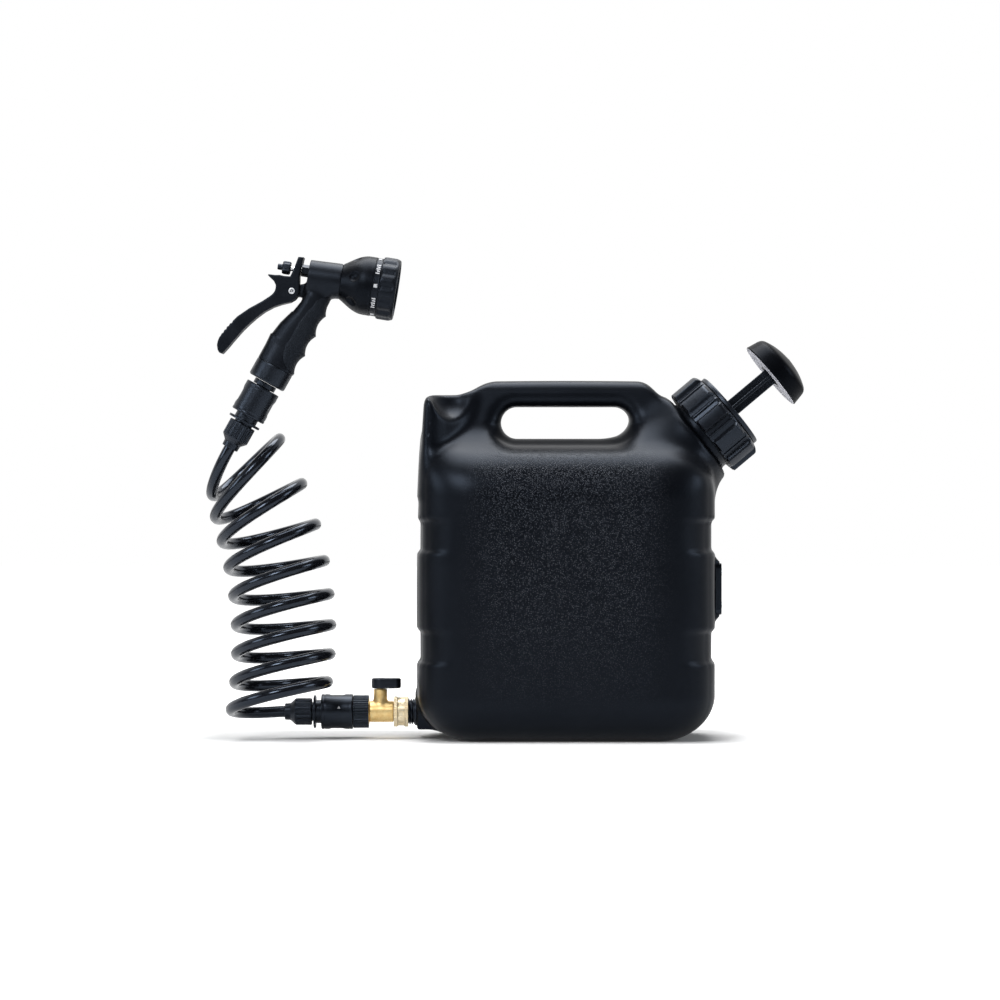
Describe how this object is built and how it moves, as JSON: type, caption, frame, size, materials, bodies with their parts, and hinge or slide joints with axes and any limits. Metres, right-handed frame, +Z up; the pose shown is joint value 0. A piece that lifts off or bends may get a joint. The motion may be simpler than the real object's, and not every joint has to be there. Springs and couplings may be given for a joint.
{
  "type": "camp shower pump",
  "caption": "Moulded pressure tank with a slanted hand pump, a carry handle, a brass ball valve and a coiled hose to a spray gun with a rear trigger and a turning dial.",
  "frame": {"origin": "middle of the flat base of the tank, where it stands", "axes": "+Z up, -X along the outlet, +X towards the pump, Y across the depth of the tank"},
  "size_m": [0.5972, 0.1815, 0.478],
  "materials": {
    "tank_plastic": "moulded polyethylene, fine stipple",
    "black_plastic": "satin moulded plastic",
    "gun_plastic": "satin moulded plastic",
    "grip_rubber": "ribbed soft rubber",
    "hose_plastic": "glossy polyurethane",
    "seal_rubber": "moulded",
    "brass": "turned",
    "pale_brass": "turned, knurled",
    "steel": "plated",
    "white_plastic": "moulded"
  },
  "bodies": {
    "tank": {"tank": "tank_plastic", "side_pad": "black_plastic", "pad_screws": "steel", "outlet_stub": "black_plastic", "swivel_washer": "seal_rubber", "valve_body": "brass", "valve_end": "brass", "ball_seats": "white_plastic", "tap_adaptor": "black_plastic", "adaptor_washer": "seal_rubber", "lower_core": "black_plastic", "lower_jaws": "white_plastic", "lower_o_ring": "seal_rubber", "lower_spring": "steel", "lower_hose_nut": "black_plastic", "coil_hose": "hose_plastic", "upper_hose_nut": "black_plastic", "upper_core": "black_plastic", "upper_jaws": "white_plastic", "upper_spring": "steel"},
    "swivel_nut": {"swivel_nut": "pale_brass"},
    "valve_lever": {"valve_lever": "black_plastic", "lever_screw": "steel", "valve_stem": "brass", "valve_ball": "steel"},
    "lower_sleeve": {"lower_sleeve": "black_plastic"},
    "upper_sleeve": {"upper_sleeve": "black_plastic"},
    "gun": {"gun_nipple": "black_plastic", "upper_o_ring": "seal_rubber", "gun_collar": "black_plastic", "gun_body": "gun_plastic", "grip_pads": "grip_rubber", "trigger_pin": "steel", "gland_nut": "black_plastic", "gun_spring": "steel", "head_shell": "gun_plastic", "pattern_band": "gun_plastic"},
    "trigger": {"trigger": "gun_plastic"},
    "gun_stem": {"gun_stem": "steel", "stem_seal": "seal_rubber"},
    "flow_nut": {"flow_nut": "black_plastic"},
    "dial": {"dial_ring": "grip_rubber", "spray_face": "black_plastic"},
    "pump_head": {"pump_flange": "black_plastic", "pump_cover": "black_plastic", "pump_barrel": "white_plastic", "barrel_foot": "black_plastic", "check_valve": "seal_rubber", "cap_gasket": "seal_rubber"},
    "screw_cap": {"screw_cap": "black_plastic"},
    "pump_rod": {"pump_rod": "black_plastic", "pump_knob": "black_plastic", "knob_pin": "steel", "piston": "black_plastic", "piston_seal": "seal_rubber"}
  },
  "joints": [
    {"name": "swivel_nut_turn", "type": "hinge", "parent": "tank", "child": "swivel_nut", "pos_m": [-0.1635, 0, 0.0265], "axis": [-1, 0, 0], "continuous": true},
    {"name": "valve_turn", "type": "hinge", "parent": "tank", "child": "valve_lever", "pos_m": [-0.185, 0, 0.0265], "axis": [0, 0, 1], "range_deg": [0, 90]},
    {"name": "lower_sleeve_pull", "type": "slide", "parent": "tank", "child": "lower_sleeve", "axis": [-1, 0, 0], "range_m": [0, 0.004], "stiffness_N_per_m": 400, "springref_m": -0.004, "deforming": ["lower_spring"]},
    {"name": "upper_sleeve_pull", "type": "slide", "parent": "tank", "child": "upper_sleeve", "axis": [-0.4879, 0, -0.8729], "range_m": [0, 0.004], "stiffness_N_per_m": 400, "springref_m": -0.004, "deforming": ["upper_spring"]},
    {"name": "gun_swivel", "type": "hinge", "parent": "tank", "child": "gun", "pos_m": [-0.29588, -0.04531, 0.35376], "axis": [0.4879, 0, 0.8729], "continuous": true},
    {"name": "trigger_squeeze", "type": "hinge", "parent": "gun", "child": "trigger", "pos_m": [-0.27011, -0.04531, 0.44333], "axis": [0, -1, 0], "range_deg": [0, 15], "stiffness_Nm_per_rad": 1.2, "springref_deg": -14.32},
    {"name": "stem_pull", "type": "slide", "parent": "gun", "child": "gun_stem", "axis": [-0.9871, 0, 0.1599], "range_m": [0, 0.00591], "deforming": ["gun_spring"]},
    {"name": "flow_nut_turn", "type": "hinge", "parent": "gun_stem", "child": "flow_nut", "pos_m": [-0.25333, -0.04531, 0.4631], "axis": [-0.9871, 0, 0.1599], "continuous": true},
    {"name": "dial_turn", "type": "hinge", "parent": "gun", "child": "dial", "pos_m": [-0.25408, -0.04531, 0.45846], "axis": [0.9871, 0, -0.1599], "continuous": true},
    {"name": "cap_turn", "type": "hinge", "parent": "pump_head", "child": "screw_cap", "pos_m": [0.1362, 0, 0.3043], "axis": [0.766, 0, 0.6428], "range_deg": [0, 720]},
    {"name": "head_lift", "type": "slide", "parent": "tank", "child": "pump_head", "axis": [0.766, 0, 0.6428], "range_m": [0, 0.0081]},
    {"name": "pump_stroke", "type": "slide", "parent": "pump_head", "child": "pump_rod", "axis": [0.766, 0, 0.6428], "range_m": [-0.044, 0.09]}
  ],
  "couplings": [
    {"joint": "stem_pull", "follows": "trigger_squeeze", "m_per_rad": 0.0222},
    {"joint": "head_lift", "follows": "cap_turn", "m_per_rad": 0.00063662}
  ]
}
